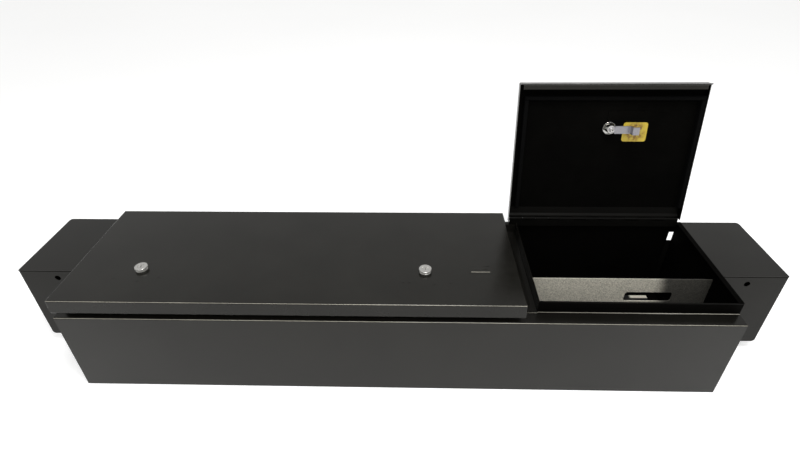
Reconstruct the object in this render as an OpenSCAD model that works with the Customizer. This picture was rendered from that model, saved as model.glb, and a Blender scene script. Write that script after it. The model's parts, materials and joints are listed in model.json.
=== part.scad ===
// Truck tool box with two hinged lids, key locks and a wing at each end.
// The origin is the middle of the body's bottom face, +X runs to the right end,
// +Y to the back and +Z up. The left lid is drawn shut and the right lid open.

/* [Body] */
// Length of the body between its end walls, outside
body_w = 1500; // [1100:10:1800]
// Depth of the body from front to back, outside
body_d = 360; // [300:5:480]
// Height of the front ledge above the bottom
ledge_z = 220; // [160:5:400]
// Depth of the rain ledge in front of the coaming
ledge_d = 35; // [28:1:45]
// Height of the coaming above the front ledge
rim_h = 32; // [28:1:48]
// Thickness of the folded sheet
sheet = 1.5; // [1:0.1:2]
// Outside radius of the body's bottom corners
corner_r = 8; // [4:1:14]
// Outside radius of the other folds
fold_r = 3; // [2.5:0.5:4]
// Height to which each end cap wraps round the corner
cap_h = 60; // [40:5:100]
// How far each end cap wraps along the body
cap_w = 14; // [12:1:24]
// Width of the cap's flange that laps inside the body
cap_lap = 16; // [10:1:30]
// Width of the flange on top of each end wall
end_flange = 12; // [8:1:15]

/* [Bays] */
// Distance from the left end to the middle of the drain channel
split_x = 1037; // [700:1:1100]
// Width of the drain channel between the two coamings
channel_w = 52; // [44:1:70]
// Distance from the front to the right bay's divider
divider_y = 148; // [135:1:200]
// Height of the divider's top edge
divider_top = 222; // [150:1:222]
// Thickness of the divider
divider_t = 2; // [1.5:0.1:3]
// How far the divider's foot runs back along the floor
divider_foot = 187; // [20:1:190]
// Length of the divider's hand slot
slot_w = 113; // [90:1:140]
// Height of the hand slot
slot_h = 28; // [22:1:40]
// Height of the hand slot's middle above the bottom
slot_z = 167; // [60:1:180]
// Distance from the right end wall to the middle of the hand slot
slot_in = 139; // [100:1:200]
// Width of the cable slot in the back wall
cable_w = 13; // [8:1:20]
// Height of the cable slot
cable_h = 28; // [16:1:40]
// Height of the cable slot's middle above the bottom
cable_z = 199; // [120:1:210]

/* [Lids] */
// Height of the lid tops above the coaming
lid_rise = 18; // [17:1:26]
// Height of the lid's front skirt
skirt_h = 36; // [30:1:44]
// Width of the flange folded in at the foot of the front skirt
hem_w = 12; // [8:1:20]
// Gap between the two lids
lid_gap = 13; // [8:1:20]
// Distance from the right lid's end to the body's end
right_inset = 6; // [2:1:8]
// Gap left over the coaming by what hangs from a lid
lid_clear = 1; // [0.6:0.1:2]
// Angle to which a lid opens
open_angle = 100.8; // [90:0.1:104]
// Thickness of the foam seal across the coaming
seal_w = 10; // [6:1:12]

/* [Hinges] */
// Distance from the back face to the hinge line
hinge_in = 9; // [9:0.5:12]
// Distance from the lid top down to the hinge line
hinge_drop = 9.6; // [9.6:0.1:12]
// Outside diameter of a hinge knuckle
knuckle_d = 7; // [6:0.1:8.4]
// Diameter of the hinge pins
pin_d = 4; // [3:0.1:4.8]
// Radial clearance between pin and knuckle
pin_clear = 0.05; // [0.02:0.01:0.1]
// Nominal length of one knuckle
knuckle_len = 32; // [20:1:60]
// Thickness of the hinge leaves
leaf_t = 1.2; // [1:0.1:1.6]
// Gap between neighbouring knuckles
knuckle_gap = 0.5; // [0.3:0.1:1]

/* [Locks] */
// Distance from the front to the lock axes
lock_in = 110; // [95:1:124]
// Distance from the left lid's left end to its first lock
lock_a_in = 163; // [120:1:300]
// Distance from the left lid's right end to its second lock
lock_b_in = 213; // [120:1:300]
// How far the right lid's lock sits to the right of the lid's middle
lock_c_off = 5; // [-40:1:40]
// Diameter of the lock's head
head_d = 29; // [24:0.5:34]
// Height of the lock's head above the lid
head_h = 10; // [7:0.5:14]
// Diameter of the lock's barrel
barrel_d = 20; // [18:0.5:22]
// Length of the barrel below the lid top
barrel_len = 24; // [18:0.5:26]
// Diameter of the turning plug
plug_d = 12; // [10:0.5:14]
// Radial clearance between plug and barrel
plug_clear = 0.05; // [0.02:0.01:0.1]
// Width of the cam
cam_w = 18.5; // [14:0.5:22]
// Thickness of the cam
cam_t = 3; // [2:0.5:4]
// Gap between the cam's tip and the coaming when locked
cam_tip_gap = 13.5; // [10:0.5:16]
// How far the cam's foot reaches below its arm
cam_crank = 16; // [12:0.5:20]
// How far the cam's foot catches under the strike
cam_bite = 6.5; // [5:0.5:8]

/* [Wings] */
// Length of each wing
wing_w = 159; // [100:1:220]
// Depth of each wing, measured from the body's back
wing_d = 224.5; // [150:0.5:280]
// Height of the wing's underside above the body's bottom
wing_z = 29; // [0:1:120]
// Height of the wing's top above the body's bottom
wing_top = 243.5; // [180:0.5:250]
// Diameter of the hole in the wing's front
wing_hole_d = 14; // [8:0.5:20]
// Distance from the body's end to the wing hole
wing_hole_out = 72; // [40:1:100]
// Distance from the wing's top to the wing hole
wing_hole_drop = 24.5; // [18:0.5:60]
// How far the wing's front plate sits behind its top plate
wing_step = 1.5; // [1:0.1:3]

/* [Hidden] */
$fn = 48;
BEND_STEPS = 6;

front = -body_d / 2;
back = body_d / 2;
end_x = body_w / 2;
rim_z = ledge_z + rim_h;
lid_z = rim_z + lid_rise;
lid_under = lid_z - sheet;
skirt_z = lid_z - skirt_h;
side_z = rim_z + lid_clear;
coaming_y = front + ledge_d;

split = split_x - end_x;
left_lid = [-end_x, split - lid_gap / 2];
right_lid = [split + lid_gap / 2, end_x - right_inset];
channel = [split - channel_w / 2, split + channel_w / 2];

hinge_y = back - hinge_in;
hinge_z = lid_z - hinge_drop;
knuckle_r = knuckle_d / 2;
leaf_y = hinge_y - knuckle_r;
lip_y = leaf_y + leaf_t + sheet;
back_ledge_z = lid_z - 26;
lip_top = hinge_z - knuckle_r - 1.4;
leaf_foot = back_ledge_z - 6;
leaf_relief = 0.5;
leaf_reach = 30;
joggle = 5;
hinge_inset = 3.5;
left_hinge = [left_lid[0] + hinge_inset, left_lid[1] - hinge_inset];
right_hinge = [right_lid[0] + hinge_inset, right_lid[1] - hinge_inset];
channel_back = leaf_y - 0.3;

seal_gap = 0.4;
seal_foot = rim_z + seal_gap;
seal_front = coaming_y + sheet / 2 - seal_w / 2;
seal_back = hinge_y - leaf_reach - 2;
lap_gap = 0.1;
lap_end = cap_w + cap_lap;
corner_cut = 6;
end_cut = 18;
rear_hem = 8;

lock_y = front + lock_in;
lock_a = left_lid[0] + lock_a_in;
lock_b = left_lid[1] - lock_b_in;
lock_c = (right_lid[0] + right_lid[1]) / 2 + lock_c_off;
gasket_t = 1;
hole_clear = 0.2;
neck_d = head_d - 5;
cap_t = 5.5;
plug_recess = 1.2;
nut_d = head_d + 2;
nut_h = 6;
tail_w = 8;
hub_d = 13;
hub_x = 7;
run_gap = 0.3;
cam_len = lock_in - ledge_d - sheet - cam_tip_gap;
cam_arm_z = -barrel_len - run_gap - cam_t;
cam_foot_z = cam_arm_z - cam_crank;
cam_foot_len = 16;
screw_d = 5;
screw_head_d = 10;
screw_head_h = 3;
screw_depth = 9;
key_w = 1.6;
key_len = 8;
key_depth = 7;

strike_w = 50;
strike_t = 2.5;
strike_z = lid_z + cam_foot_z + cam_t + 0.5;
strike_top = rim_z - 4;
strike_end = lock_y - cam_len + cam_bite;

guard_size = [102, 26];
guard_off = 46;
guard_y = lock_y - nut_d / 2 - guard_size[1] / 2 - 0.5;
badge_size = [53, 34];
badge_t = 0.6;
badge_in = 87;
label_size = [60, 48];
label_t = 0.3;
label_shift = [66.5, 10.5];

wing_front = back - wing_d;
angle_w = 15;

steel_black = [0.17, 0.17, 0.16];
steel_grey = [0.55, 0.54, 0.5];
zinc = [0.72, 0.72, 0.7];
chrome = [0.85, 0.85, 0.86];
foam = [0.08, 0.08, 0.08];
yellow = [0.95, 0.78, 0.1];

// ---- outlines of folded sheet ----

function unit(v) = v / norm(v);
function left_of(v) = [-v[1], v[0]];
function cross_z(a, b) = a[0] * b[1] - a[1] * b[0];
function turned(v, angle) =
  [v[0] * cos(angle) - v[1] * sin(angle), v[0] * sin(angle) + v[1] * cos(angle)];
function heading(path, i) = unit(path[i + 1] - path[i]);
function backwards(list) = [for (i = [len(list) - 1:-1:0]) list[i]];

// Points of the arc that rounds corner p between headings a and b
function bend_arc(p, a, b, r) = r <= 0 ? [p] :
  let (turn = acos(a * b), side = sign(cross_z(a, b)))
  let (start = p - a * r * tan(turn / 2), centre = start + side * r * left_of(a))
  [for (k = [0:BEND_STEPS]) centre + turned(start - centre, side * turn * k / BEND_STEPS)];

// A path with its left bends rounded by grow + r and its right bends by r
function rounded_path(path, r_left, r_right) = [
  path[0],
  for (i = [1:1:len(path) - 2])
    let (a = heading(path, i - 1), b = heading(path, i), left = cross_z(a, b) > 0)
    each bend_arc(path[i], a, b, left ? r_left[i - 1] : r_right[i - 1]),
  path[len(path) - 1]
];

// The same path on the sheet's other face, t to its left
function other_face(path, t) = [
  for (i = [0:len(path) - 1])
    let (a = heading(path, max(i - 1, 0)), b = heading(path, min(i, len(path) - 2)))
    path[i] + t * (left_of(a) + left_of(b)) / (1 + a * b)
];

// A strip of sheet t thick on the left of a path, each fold with its outside radius
module folded(path, t, radii) {
  inside = [for (r = radii) r - t];
  polygon(concat(
    rounded_path(path, radii, inside),
    backwards(rounded_path(other_face(path, t), inside, radii))
  ));
}

// ---- helpers that place an outline ----

// An outline in Y and Z, drawn out along X
module along_x(x0, x1) {
  translate([x0, 0, 0]) rotate([90, 0, 90]) linear_extrude(x1 - x0) children();
}

// An outline in X and Z, drawn out along Y
module along_y(y0, y1) {
  translate([0, y1, 0]) rotate([90, 0, 0]) linear_extrude(y1 - y0) children();
}

// An outline in X and Y, drawn out along Z
module along_z(z0, z1) {
  translate([0, 0, z0]) linear_extrude(z1 - z0) children();
}

module block(low, high) {
  translate(low) cube(high - low);
}

// A rectangle from the origin with round bottom corners and round top corners
module round_rect(w, h, bottom_r, top_r) {
  translate([0, bottom_r]) square([w, h - bottom_r - top_r]);
  translate([bottom_r, 0]) square([w - 2 * bottom_r, h / 2]);
  translate([top_r, h / 2]) square([w - 2 * top_r, h / 2]);
  for (x = [bottom_r, w - bottom_r]) translate([x, bottom_r]) circle(bottom_r);
  for (x = [top_r, w - top_r]) translate([x, h - top_r]) circle(top_r);
}

// A rectangle from the origin whose corner at the origin is round
module round_corner(w, h, r) {
  translate([r, 0]) square([w - r, h]);
  translate([0, r]) square([w, h - r]);
  translate([r, r]) circle(r);
}

// A child of the right lid, turned to where the lid stands open
module opened() {
  translate([0, hinge_y, hinge_z]) rotate([-open_angle, 0, 0])
    translate([0, -hinge_y, -hinge_z]) children();
}

// ---- body ----

// The lower body as a solid, shrunk by inset on its outside faces
module body_block(inset) {
  r = corner_r - inset;
  intersection() {
    along_x(inset - end_x, end_x - inset) translate([front + inset, inset])
      round_corner(body_d, ledge_z, r);
    along_x(inset - end_x, end_x - inset) translate([back - inset, inset])
      mirror([1, 0]) round_corner(body_d, ledge_z, r);
    along_y(front, back) translate([inset - end_x, inset])
      round_corner(body_w, ledge_z, r);
    along_y(front, back) translate([end_x - inset, inset])
      mirror([1, 0]) round_corner(body_w, ledge_z, r);
  }
}

// The front, the floor and the back with their ledges, folded from one sheet
module body_wrap() {
  path = [
    [coaming_y, rim_z], [coaming_y, ledge_z], [front, ledge_z], [front, 0],
    [back, 0], [back, back_ledge_z], [lip_y, back_ledge_z], [lip_y, lip_top]
  ];
  radii = [fold_r, fold_r, corner_r, corner_r, fold_r, fold_r];
  lip_cuts = [
    [-end_x, left_hinge[0]], [left_hinge[1], right_hinge[0]], [right_hinge[1], end_x]
  ];
  cable_x = end_x - sheet - cable_w;
  color(steel_black) difference() {
    along_x(sheet - end_x, end_x - sheet) folded(path, sheet, radii);
    for (side = [-1, 1]) translate([side * end_x, 0, cap_h / 2])
      cube([2 * cap_w, body_d + 2, cap_h + 0.001], center = true);
    block([channel[0], coaming_y - 1, ledge_z], [channel[1], coaming_y + 2 * sheet, rim_z + 1]);
    for (cut = lip_cuts)
      block([cut[0], lip_y - 2 * sheet, back_ledge_z], [cut[1], lip_y + 1, lip_top + 1]);
    block([cable_x, back - 2 * sheet, cable_z - cable_h / 2],
          [end_x - sheet, back + 1, cable_z + cable_h / 2]);
  }
}

// A stretch of an end wall's lap, gap inside the sheet that it laps
module end_lap(gap, x0, x1) {
  intersection() {
    difference() {
      body_block(sheet + gap);
      body_block(2 * sheet);
    }
    block([x0, front, 0], [x1, back, cap_h - 4]);
  }
}

// An end wall that wraps round the body's bottom corners and laps inside the sheet
module end_cap() {
  wall = [
    [front, ledge_z], [coaming_y, ledge_z], [coaming_y, rim_z], [leaf_y, rim_z],
    [leaf_y, back_ledge_z], [back, back_ledge_z], [back, 0], [front, 0]
  ];
  flange_x = sheet - end_x;
  lap_x = cap_w - end_x;
  intersection() {
    along_x(-end_x, flange_x) polygon(wall);
    union() {
      body_block(0);
      block([-end_x, front, ledge_z / 2], [end_x, back, rim_z]);
    }
  }
  intersection() {
    difference() {
      body_block(0);
      body_block(sheet);
    }
    block([-end_x, front, 0], [lap_x, back, cap_h]);
  }
  end_lap(0, lap_x - 2 * sheet, lap_x);
  end_lap(lap_gap, lap_x - sheet, lap_end - end_x);
  block([flange_x, coaming_y + sheet, rim_z - sheet], [flange_x + end_flange, leaf_y - 1, rim_z]);
}

module left_end_cap() {
  color(steel_black) end_cap();
}

module right_end_cap() {
  color(steel_black) mirror([1, 0, 0]) end_cap();
}

// The drain channel between the two coamings, open to the front ledge
module drain_channel() {
  path = [
    [channel[0] - sheet, rim_z], [channel[0] - sheet, ledge_z - sheet],
    [channel[1] + sheet, ledge_z - sheet], [channel[1] + sheet, rim_z]
  ];
  color(steel_black) {
    along_y(coaming_y + sheet, channel_back) folded(path, sheet, [fold_r, fold_r]);
    block([channel[0], channel_back - sheet, ledge_z],
          [channel[1], channel_back, back_ledge_z - sheet]);
  }
}

module bay_partition() {
  color(steel_black) intersection() {
    block([split - sheet / 2, front + sheet, sheet],
          [split + sheet / 2, back - sheet, ledge_z - fold_r]);
    body_block(sheet + lap_gap);
  }
}

// The upright panel in the right bay, with its hand slot and a foot along the floor
module bay_divider() {
  x0 = split + sheet / 2;
  x1 = end_x - sheet;
  y0 = front + divider_y;
  top_x = channel[1] + sheet + 0.5;
  under_top = ledge_z - sheet - 0.5;
  color(steel_grey) difference() {
    union() {
      block([x0, y0, sheet], [x1, y0 + divider_t, under_top]);
      block([top_x, y0, under_top - 1], [x1 - 0.5, y0 + divider_t, divider_top]);
      block([x0, y0, sheet], [x1, y0 + divider_foot, sheet + divider_t]);
    }
    block([end_x - lap_end - 1, y0 - 1, 0], [end_x, back, corner_r + 1]);
    along_y(y0 - 1, y0 + divider_t + 1)
      translate([x1 - slot_in - slot_w / 2, slot_z - slot_h / 2])
        round_rect(slot_w, slot_h, slot_h / 4, slot_h / 4);
  }
}

// The two angles that hold the divider to the partition and to the end wall
module divider_angles() {
  y0 = front + divider_y + divider_t;
  top = ledge_z - 30;
  x0 = split + sheet / 2;
  x1 = end_x - sheet;
  color(steel_black) {
    along_z(30, top) folded([[x0 + angle_w, y0], [x0, y0], [x0, y0 + angle_w]], -sheet, [0]);
    along_z(30, top) folded([[x1, y0 + angle_w], [x1, y0], [x1 - angle_w, y0]], -sheet, [0]);
  }
}

// ---- wings ----

// A wing as a solid, shrunk by inset on its round sides
module wing_block(inset) {
  r = corner_r - inset;
  x0 = inset - end_x - wing_w;
  deep = wing_d * 2;
  high = wing_top * 2;
  wide = wing_w * 2;
  intersection() {
    along_x(x0, -end_x) translate([back - inset, wing_z + inset])
      mirror([1, 0]) round_corner(deep, high, r);
    along_y(wing_front, back) translate([x0, wing_z + inset])
      round_corner(wide, high, r);
    along_z(wing_z, wing_top * 2) translate([x0, back - inset])
      mirror([0, 1]) round_corner(wide, deep, r);
  }
}

// The wing's end, underside and back
module wing_pan() {
  color(steel_black) intersection() {
    difference() {
      wing_block(0);
      wing_block(sheet);
    }
    block([-end_x - wing_w, wing_front + wing_step + sheet, wing_z],
          [-end_x, back, wing_top - sheet]);
  }
}

// The wing's front plate with its fixing hole
module wing_front_plate() {
  y0 = wing_front + wing_step;
  color(steel_black) difference() {
    intersection() {
      wing_block(0);
      block([-end_x - wing_w, y0, wing_z], [-end_x, y0 + sheet, wing_top - sheet]);
    }
    translate([-end_x - wing_hole_out, y0 - 1, wing_top - wing_hole_drop])
      rotate([-90, 0, 0]) cylinder(d = wing_hole_d, h = sheet + 2);
  }
}

module wing_top_plate() {
  color(steel_black) intersection() {
    wing_block(0);
    block([-end_x - wing_w, wing_front, wing_top - sheet], [-end_x, back, wing_top]);
  }
}

module left_wing_pan() { wing_pan(); }
module left_wing_front() { wing_front_plate(); }
module left_wing_top() { wing_top_plate(); }
module right_wing_pan() { mirror([1, 0, 0]) wing_pan(); }
module right_wing_front() { mirror([1, 0, 0]) wing_front_plate(); }
module right_wing_top() { mirror([1, 0, 0]) wing_top_plate(); }

// ---- hinges ----

// Every other knuckle of a hinge along span, each on its own outline
module knuckles(span, first) {
  long = span[1] - span[0];
  count = 2 * floor(long / knuckle_len / 2) + 1;
  pitch = long / count;
  for (i = [first:2:count - 1])
    along_x(span[0] + i * pitch + knuckle_gap / 2, span[0] + (i + 1) * pitch - knuckle_gap / 2)
      difference() {
        union() {
          translate([hinge_y, hinge_z]) circle(knuckle_r);
          children();
        }
        translate([hinge_y, hinge_z]) circle(pin_d / 2 + pin_clear);
      }
}

// The leaf on the body's back lip
module body_leaf(span) {
  plate_top = hinge_z - knuckle_r - leaf_relief;
  color(zinc) {
    block([span[0], leaf_y, leaf_foot], [span[1], leaf_y + leaf_t, plate_top]);
    knuckles(span, 0) translate([leaf_y, plate_top - 0.5])
      square([leaf_t, hinge_z - plate_top + 0.5]);
  }
}

// The leaf under a lid, stepped up from the knuckles to the lid's underside
module lid_leaf(span) {
  y0 = leaf_y - leaf_relief;
  top = hinge_z + knuckle_r;
  path = [
    [y0, top], [y0 - 3, top], [y0 - 3 - joggle, lid_under], [hinge_y - leaf_reach, lid_under]
  ];
  color(zinc) {
    along_x(span[0], span[1]) folded(path, leaf_t, [leaf_t * 1.5, leaf_t * 1.5]);
    knuckles(span, 1) translate([y0 - 0.5, top - leaf_t])
      square([hinge_y - y0 + 0.5, leaf_t]);
  }
}

module hinge_pin(span) {
  color(chrome) translate([span[0], hinge_y, hinge_z]) rotate([0, 90, 0])
    cylinder(d = pin_d, h = span[1] - span[0]);
}

module left_hinge_body_leaf() { body_leaf(left_hinge); }
module left_hinge_lid_leaf() { lid_leaf(left_hinge); }
module left_hinge_pin() { hinge_pin(left_hinge); }
module right_hinge_body_leaf() { body_leaf(right_hinge); }
module right_hinge_lid_leaf() { opened() lid_leaf(right_hinge); }
module right_hinge_pin() { hinge_pin(right_hinge); }

// ---- lids ----

// A lid's folded sheet; rears gives where its left and right skirts end at the back, and
// right_cut is the radius of the front skirt's lower right corner
module lid_shell(span, rears, holes, right_cut) {
  wide = span[1] - span[0];
  front_path = [[back, lid_z], [front, lid_z], [front, skirt_z], [front + hem_w, skirt_z]];
  side_path = [[span[1], side_z], [span[1], lid_z], [span[0], lid_z], [span[0], side_z]];
  color(steel_black) difference() {
    intersection() {
      union() {
        along_x(span[0], span[1]) folded(front_path, sheet, [fold_r, fold_r]);
        along_y(front, back) folded(side_path, sheet, [fold_r, fold_r]);
        block([span[0] + sheet, back - rear_hem, lid_under - sheet],
              [span[1] - sheet, back, lid_under]);
      }
      along_y(front, back) translate([span[0], skirt_z])
        round_rect(wide, skirt_h, corner_cut, fold_r);
      along_y(front, back) translate([span[1], skirt_z]) mirror([1, 0])
        round_corner(wide, skirt_h, right_cut);
      along_x(span[0], span[1]) translate([front, lid_z]) mirror([0, 1])
        round_corner(body_d, skirt_h, fold_r);
    }
    for (i = [0, 1])
      block([span[i] - fold_r, rears[i], side_z - 1], [span[i] + fold_r, back + 1, lid_z - fold_r]);
    for (x = holes) translate([x, lock_y, lid_under - 1])
      cylinder(d = barrel_d + 2 * hole_clear, h = sheet + 2);
  }
}

// The foam seal under a lid: a front run and a run over each side coaming
module lid_seal(span, seats) {
  color(foam) {
    block([seats[0], seal_front, seal_foot], [seats[1] + seal_w, seal_front + seal_w, lid_under]);
    for (x = seats)
      block([x, seal_front + seal_w - 1, seal_foot], [x + seal_w, seal_back, lid_under]);
  }
}

// The stiffening plate under the lid in front of a lock
module lock_guard(x) {
  color(steel_black)
    translate([x - guard_size[0] / 2, guard_y - guard_size[1] / 2, lid_under - sheet])
      linear_extrude(sheet) round_rect(guard_size[0], guard_size[1], 3, 3);
}

module left_lid_shell() {
  lid_shell(left_lid, [hinge_y, back], [lock_a, lock_b], corner_cut);
}

module left_lid_seal() {
  lid_seal(left_lid, [left_lid[0] + fold_r, channel[0] - sheet / 2 - seal_w / 2]);
}

module left_lid_badge() {
  color(steel_black)
    translate([left_lid[1] - badge_in - badge_size[0] / 2, lock_y + 11 - badge_size[1] / 2, lid_z])
      linear_extrude(badge_t) round_rect(badge_size[0], badge_size[1], 3, 3);
}

module right_lid_shell() {
  opened() lid_shell(right_lid, [back, hinge_y], [lock_c], end_cut);
}

module right_lid_seal() {
  opened() lid_seal(right_lid,
    [channel[1] + sheet / 2 - seal_w / 2, right_lid[1] - fold_r - seal_w]);
}

module right_lid_label() {
  color(yellow) opened()
    translate([lock_c + label_shift[0] - label_size[0] / 2,
               lock_y + label_shift[1] - label_size[1] / 2, lid_under - label_t])
      linear_extrude(label_t) round_rect(label_size[0], label_size[1], 6, 6);
}

// ---- locks, drawn with their axis on Z and the lid's top at zero ----

module at_lock(x) {
  translate([x, lock_y, lid_z]) children();
}

// The fixed housing: a domed head, its neck and the barrel that holds the plug
module lock_housing() {
  cap_z = head_h - cap_t;
  edge = 2;
  color(chrome) difference() {
    union() {
      translate([0, 0, cap_z]) rotate_extrude() {
        square([head_d / 2, cap_t - edge]);
        square([head_d / 2 - edge, cap_t]);
        translate([head_d / 2 - edge, cap_t - edge]) circle(edge);
      }
      translate([0, 0, gasket_t]) cylinder(d = neck_d, h = cap_z);
      translate([0, 0, -barrel_len]) cylinder(d = barrel_d, h = barrel_len + head_h - 1);
    }
    translate([0, 0, -barrel_len - 1])
      cylinder(d = plug_d + 2 * plug_clear, h = barrel_len + head_h + 2);
  }
}

module lock_gasket() {
  color(foam) difference() {
    cylinder(d = neck_d + 2, h = gasket_t);
    translate([0, 0, -1]) cylinder(d = barrel_d + 2 * hole_clear, h = gasket_t + 2);
  }
}

// The round nut under the lid, with four spanner slots
module lock_nut() {
  slot = 4;
  color(zinc) translate([0, 0, -sheet - nut_h]) difference() {
    cylinder(d = nut_d, h = nut_h);
    translate([0, 0, -1]) cylinder(d = barrel_d + 2 * plug_clear, h = nut_h + 2);
    for (turn = [0:90:270]) rotate([0, 0, turn])
      translate([nut_d / 2 - 1.5, -slot / 2, -1]) cube([slot, slot, nut_h + 2]);
  }
}

// The plug that the key turns, with a square tail for the cam
module lock_plug() {
  tail_z = cam_arm_z;
  color(zinc) difference() {
    union() {
      translate([0, 0, -barrel_len - run_gap])
        cylinder(d = plug_d, h = barrel_len + run_gap + head_h - plug_recess);
      translate([-tail_w / 2, -tail_w / 2, tail_z]) cube([tail_w, tail_w, cam_t + 1]);
    }
    translate([-key_w / 2, -key_len / 2, head_h - plug_recess - key_depth])
      cube([key_w, key_len, key_depth + 1]);
    translate([0, 0, tail_z - 1]) cylinder(d = screw_d + 0.1, h = screw_depth + 1);
  }
}

// The cam: an arm on the plug's tail, cranked down to a foot that catches the strike
module lock_cam() {
  crank_x = cam_len - cam_foot_len;
  path = [
    [hub_x, cam_arm_z], [crank_x, cam_arm_z], [crank_x, cam_foot_z], [cam_len, cam_foot_z]
  ];
  color(zinc) difference() {
    union() {
      along_y(-cam_w / 2, cam_w / 2) folded(path, cam_t, [cam_t + 1, cam_t + 1]);
      translate([0, 0, cam_arm_z]) cylinder(d = hub_d, h = cam_t);
      block([0, -hub_d / 2, cam_arm_z], [hub_x + 1, hub_d / 2, cam_arm_z + cam_t]);
    }
    translate([-tail_w / 2 - 0.05, -tail_w / 2 - 0.05, cam_arm_z - 1])
      cube([tail_w + 0.1, tail_w + 0.1, cam_t + 2]);
  }
}

module cam_screw() {
  color(chrome) {
    translate([0, 0, cam_arm_z - screw_head_h]) difference() {
      cylinder(d = screw_head_d, h = screw_head_h);
      for (turn = [0, 90]) rotate([0, 0, turn])
        translate([-3, -0.5, -1]) cube([6, 1, 2.5]);
    }
    translate([0, 0, cam_arm_z - 0.1]) cylinder(d = screw_d, h = screw_depth - 1);
  }
}

// The bracket on the front coaming that the cam turns under
module strike(x) {
  y0 = coaming_y + sheet;
  path = [[y0, strike_top], [y0, strike_z], [strike_end, strike_z]];
  color(zinc) along_x(x - strike_w / 2, x + strike_w / 2)
    folded(path, strike_t, [strike_t + 1]);
}

module left_strike_a() { strike(lock_a); }
module left_strike_b() { strike(lock_b); }
module right_strike() { strike(lock_c); }

module lock_guard_a() { lock_guard(lock_a); }
module lock_housing_a() { at_lock(lock_a) lock_housing(); }
module lock_gasket_a() { at_lock(lock_a) lock_gasket(); }
module lock_nut_a() { at_lock(lock_a) lock_nut(); }
module lock_plug_a() { at_lock(lock_a) lock_plug(); }
module lock_cam_a() { at_lock(lock_a) lock_cam(); }
module cam_screw_a() { at_lock(lock_a) cam_screw(); }

module lock_guard_b() { lock_guard(lock_b); }
module lock_housing_b() { at_lock(lock_b) lock_housing(); }
module lock_gasket_b() { at_lock(lock_b) lock_gasket(); }
module lock_nut_b() { at_lock(lock_b) lock_nut(); }
module lock_plug_b() { at_lock(lock_b) lock_plug(); }
module lock_cam_b() { at_lock(lock_b) lock_cam(); }
module cam_screw_b() { at_lock(lock_b) cam_screw(); }

module lock_guard_c() { opened() lock_guard(lock_c + guard_off); }
module lock_housing_c() { opened() at_lock(lock_c) lock_housing(); }
module lock_gasket_c() { opened() at_lock(lock_c) lock_gasket(); }
module lock_nut_c() { opened() at_lock(lock_c) lock_nut(); }
module lock_plug_c() { opened() at_lock(lock_c) lock_plug(); }
module lock_cam_c() { opened() at_lock(lock_c) lock_cam(); }
module cam_screw_c() { opened() at_lock(lock_c) cam_screw(); }

body_wrap();
left_end_cap();
right_end_cap();
drain_channel();
bay_partition();
bay_divider();
divider_angles();
left_wing_pan();
left_wing_front();
left_wing_top();
right_wing_pan();
right_wing_front();
right_wing_top();
left_hinge_body_leaf();
left_hinge_pin();
right_hinge_body_leaf();
right_hinge_pin();
left_strike_a();
left_strike_b();
right_strike();
left_lid_shell();
left_hinge_lid_leaf();
left_lid_seal();
left_lid_badge();
lock_guard_a();
lock_housing_a();
lock_gasket_a();
lock_nut_a();
lock_guard_b();
lock_housing_b();
lock_gasket_b();
lock_nut_b();
right_lid_shell();
right_hinge_lid_leaf();
right_lid_seal();
right_lid_label();
lock_guard_c();
lock_housing_c();
lock_gasket_c();
lock_nut_c();
lock_plug_a();
lock_cam_a();
cam_screw_a();
lock_plug_b();
lock_cam_b();
cam_screw_b();
lock_plug_c();
lock_cam_c();
cam_screw_c();
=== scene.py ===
# %% [markdown]
# # A truck tool box in black powder coat
# The box is a folded steel trough with an end wall and a hollow mounting wing at each
# end. A long lid covers the left bay and a short lid stands open over the right bay.
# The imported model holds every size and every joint, so this lesson only reads places
# from it, and makes the finish and the small parts that a plain model leaves out.

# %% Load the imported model
import json
import math
import random

import bmesh
import bpy
from mathutils import Matrix, Vector


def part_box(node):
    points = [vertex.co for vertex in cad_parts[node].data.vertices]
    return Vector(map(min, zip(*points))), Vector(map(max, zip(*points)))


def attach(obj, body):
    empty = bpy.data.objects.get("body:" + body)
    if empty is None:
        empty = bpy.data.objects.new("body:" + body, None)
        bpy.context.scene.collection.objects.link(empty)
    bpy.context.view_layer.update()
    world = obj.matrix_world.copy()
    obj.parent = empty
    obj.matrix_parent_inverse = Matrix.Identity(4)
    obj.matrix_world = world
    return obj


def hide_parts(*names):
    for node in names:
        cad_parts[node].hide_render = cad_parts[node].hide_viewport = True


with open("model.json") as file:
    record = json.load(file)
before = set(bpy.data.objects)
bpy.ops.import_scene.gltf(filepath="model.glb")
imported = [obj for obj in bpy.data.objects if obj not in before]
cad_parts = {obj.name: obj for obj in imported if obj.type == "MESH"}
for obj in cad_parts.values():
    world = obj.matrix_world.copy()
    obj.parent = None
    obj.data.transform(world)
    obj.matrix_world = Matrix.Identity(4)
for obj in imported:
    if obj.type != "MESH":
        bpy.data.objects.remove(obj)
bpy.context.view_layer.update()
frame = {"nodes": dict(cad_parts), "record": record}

# %% [markdown]
# ## Sizes
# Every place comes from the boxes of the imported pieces. The left lid is shut, so its
# box gives the lid's top, its skirt and its front. The open lid has the same section,
# so it is made shut and then turned about its own hinge line, as the real one is.

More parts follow.
